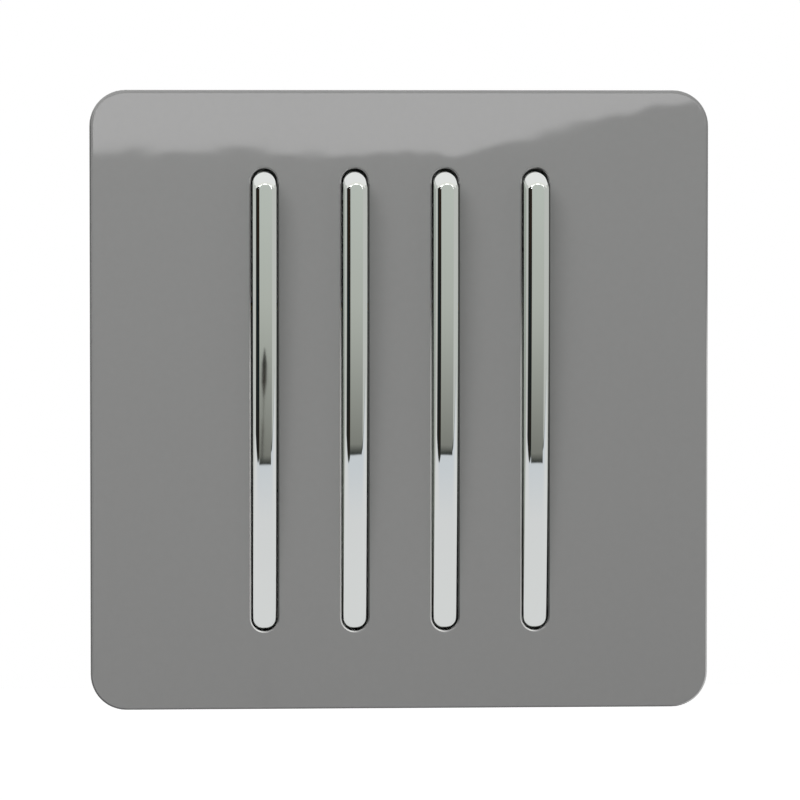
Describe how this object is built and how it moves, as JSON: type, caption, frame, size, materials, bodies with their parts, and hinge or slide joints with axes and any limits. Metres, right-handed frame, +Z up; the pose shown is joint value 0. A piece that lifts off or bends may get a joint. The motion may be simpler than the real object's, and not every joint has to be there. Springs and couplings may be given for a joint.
{
  "type": "rocker light switch",
  "caption": "Square glossy wall plate with long slim chromed rocker bars in round-ended slots, clipped over a mounting frame and a two-way switch mechanism.",
  "frame": {"origin": "midway between the two wall-box fixing holes, in the plane of the wall", "axes": "+X to the right as seen from the room, +Y into the wall, +Z up"},
  "size_m": [0.09, 0.0358, 0.09],
  "materials": {
    "plate_gloss": "high gloss",
    "bar_chrome": "bright chrome plating",
    "white_moulding": "satin",
    "black_moulding": "matt",
    "dolly_nylon": "satin",
    "plunger_nylon": "satin",
    "spring_steel": "drawn wire",
    "zinc_steel": "zinc plated",
    "lever_brass": "pressed strip",
    "terminal_brass": "machined",
    "contact_silver": "silver"
  },
  "bodies": {
    "switch_body": {"front_plate": "plate_gloss", "mounting_frame": "white_moulding", "mechanism_housing": "black_moulding", "housing_screws": "zinc_steel", "common_terminal_1": "terminal_brass", "common_terminal_2": "terminal_brass", "common_terminal_3": "terminal_brass", "common_terminal_4": "terminal_brass", "upper_terminal_1": "terminal_brass", "upper_terminal_2": "terminal_brass", "upper_terminal_3": "terminal_brass", "upper_terminal_4": "terminal_brass", "lower_terminal_1": "terminal_brass", "lower_terminal_2": "terminal_brass", "lower_terminal_3": "terminal_brass", "lower_terminal_4": "terminal_brass", "fixed_contacts_1": "contact_silver", "fixed_contacts_2": "contact_silver", "fixed_contacts_3": "contact_silver", "fixed_contacts_4": "contact_silver", "terminal_screws_1": "zinc_steel", "terminal_screws_2": "zinc_steel", "terminal_screws_3": "zinc_steel", "terminal_screws_4": "zinc_steel"},
    "rocker_1": {"rocker_bar_1": "bar_chrome", "rocker_dolly_1": "dolly_nylon", "dolly_spring_1": "spring_steel"},
    "plunger_1": {"plunger_1": "plunger_nylon"},
    "lever_1": {"contact_lever_1": "lever_brass", "moving_contacts_1": "contact_silver"},
    "rocker_2": {"rocker_bar_2": "bar_chrome", "rocker_dolly_2": "dolly_nylon", "dolly_spring_2": "spring_steel"},
    "plunger_2": {"plunger_2": "plunger_nylon"},
    "lever_2": {"contact_lever_2": "lever_brass", "moving_contacts_2": "contact_silver"},
    "rocker_3": {"rocker_bar_3": "bar_chrome", "rocker_dolly_3": "dolly_nylon", "dolly_spring_3": "spring_steel"},
    "plunger_3": {"plunger_3": "plunger_nylon"},
    "lever_3": {"contact_lever_3": "lever_brass", "moving_contacts_3": "contact_silver"},
    "rocker_4": {"rocker_bar_4": "bar_chrome", "rocker_dolly_4": "dolly_nylon", "dolly_spring_4": "spring_steel"},
    "plunger_4": {"plunger_4": "plunger_nylon"},
    "lever_4": {"contact_lever_4": "lever_brass", "moving_contacts_4": "contact_silver"}
  },
  "joints": [
    {"name": "rocker_1_tilt", "type": "hinge", "parent": "switch_body", "child": "rocker_1", "pos_m": [-0.01972, -0.002, 0], "axis": [-1, 0, 0], "range_deg": [0, 7]},
    {"name": "lever_1_rock", "type": "hinge", "parent": "switch_body", "child": "lever_1", "pos_m": [-0.01972, 0.0094, 0], "axis": [1, 0, 0], "range_deg": [0, 16.8]},
    {"name": "plunger_1_press", "type": "slide", "parent": "rocker_1", "child": "plunger_1", "axis": [0, -0.9981, -0.061], "range_m": [0, 0.0005], "stiffness_N_per_m": 300, "springref_m": -0.002, "deforming": ["dolly_spring_1"]},
    {"name": "rocker_2_tilt", "type": "hinge", "parent": "switch_body", "child": "rocker_2", "pos_m": [-0.00658, -0.002, 0], "axis": [-1, 0, 0], "range_deg": [0, 7]},
    {"name": "lever_2_rock", "type": "hinge", "parent": "switch_body", "child": "lever_2", "pos_m": [-0.00658, 0.0094, 0], "axis": [1, 0, 0], "range_deg": [0, 16.8]},
    {"name": "plunger_2_press", "type": "slide", "parent": "rocker_2", "child": "plunger_2", "axis": [0, -0.9981, -0.061], "range_m": [0, 0.0005], "stiffness_N_per_m": 300, "springref_m": -0.002, "deforming": ["dolly_spring_2"]},
    {"name": "rocker_3_tilt", "type": "hinge", "parent": "switch_body", "child": "rocker_3", "pos_m": [0.00658, -0.002, 0], "axis": [-1, 0, 0], "range_deg": [0, 7]},
    {"name": "lever_3_rock", "type": "hinge", "parent": "switch_body", "child": "lever_3", "pos_m": [0.00658, 0.0094, 0], "axis": [1, 0, 0], "range_deg": [0, 16.8]},
    {"name": "plunger_3_press", "type": "slide", "parent": "rocker_3", "child": "plunger_3", "axis": [0, -0.9981, -0.061], "range_m": [0, 0.0005], "stiffness_N_per_m": 300, "springref_m": -0.002, "deforming": ["dolly_spring_3"]},
    {"name": "rocker_4_tilt", "type": "hinge", "parent": "switch_body", "child": "rocker_4", "pos_m": [0.01972, -0.002, 0], "axis": [-1, 0, 0], "range_deg": [0, 7]},
    {"name": "lever_4_rock", "type": "hinge", "parent": "switch_body", "child": "lever_4", "pos_m": [0.01972, 0.0094, 0], "axis": [1, 0, 0], "range_deg": [0, 16.8]},
    {"name": "plunger_4_press", "type": "slide", "parent": "rocker_4", "child": "plunger_4", "axis": [0, -0.9981, -0.061], "range_m": [0, 0.0005], "stiffness_N_per_m": 300, "springref_m": -0.002, "deforming": ["dolly_spring_4"]}
  ],
  "couplings": [
    {"joint": "lever_1_rock", "follows": "rocker_1_tilt", "ratio": 2.4},
    {"joint": "lever_2_rock", "follows": "rocker_2_tilt", "ratio": 2.4},
    {"joint": "lever_3_rock", "follows": "rocker_3_tilt", "ratio": 2.4},
    {"joint": "lever_4_rock", "follows": "rocker_4_tilt", "ratio": 2.4}
  ]
}
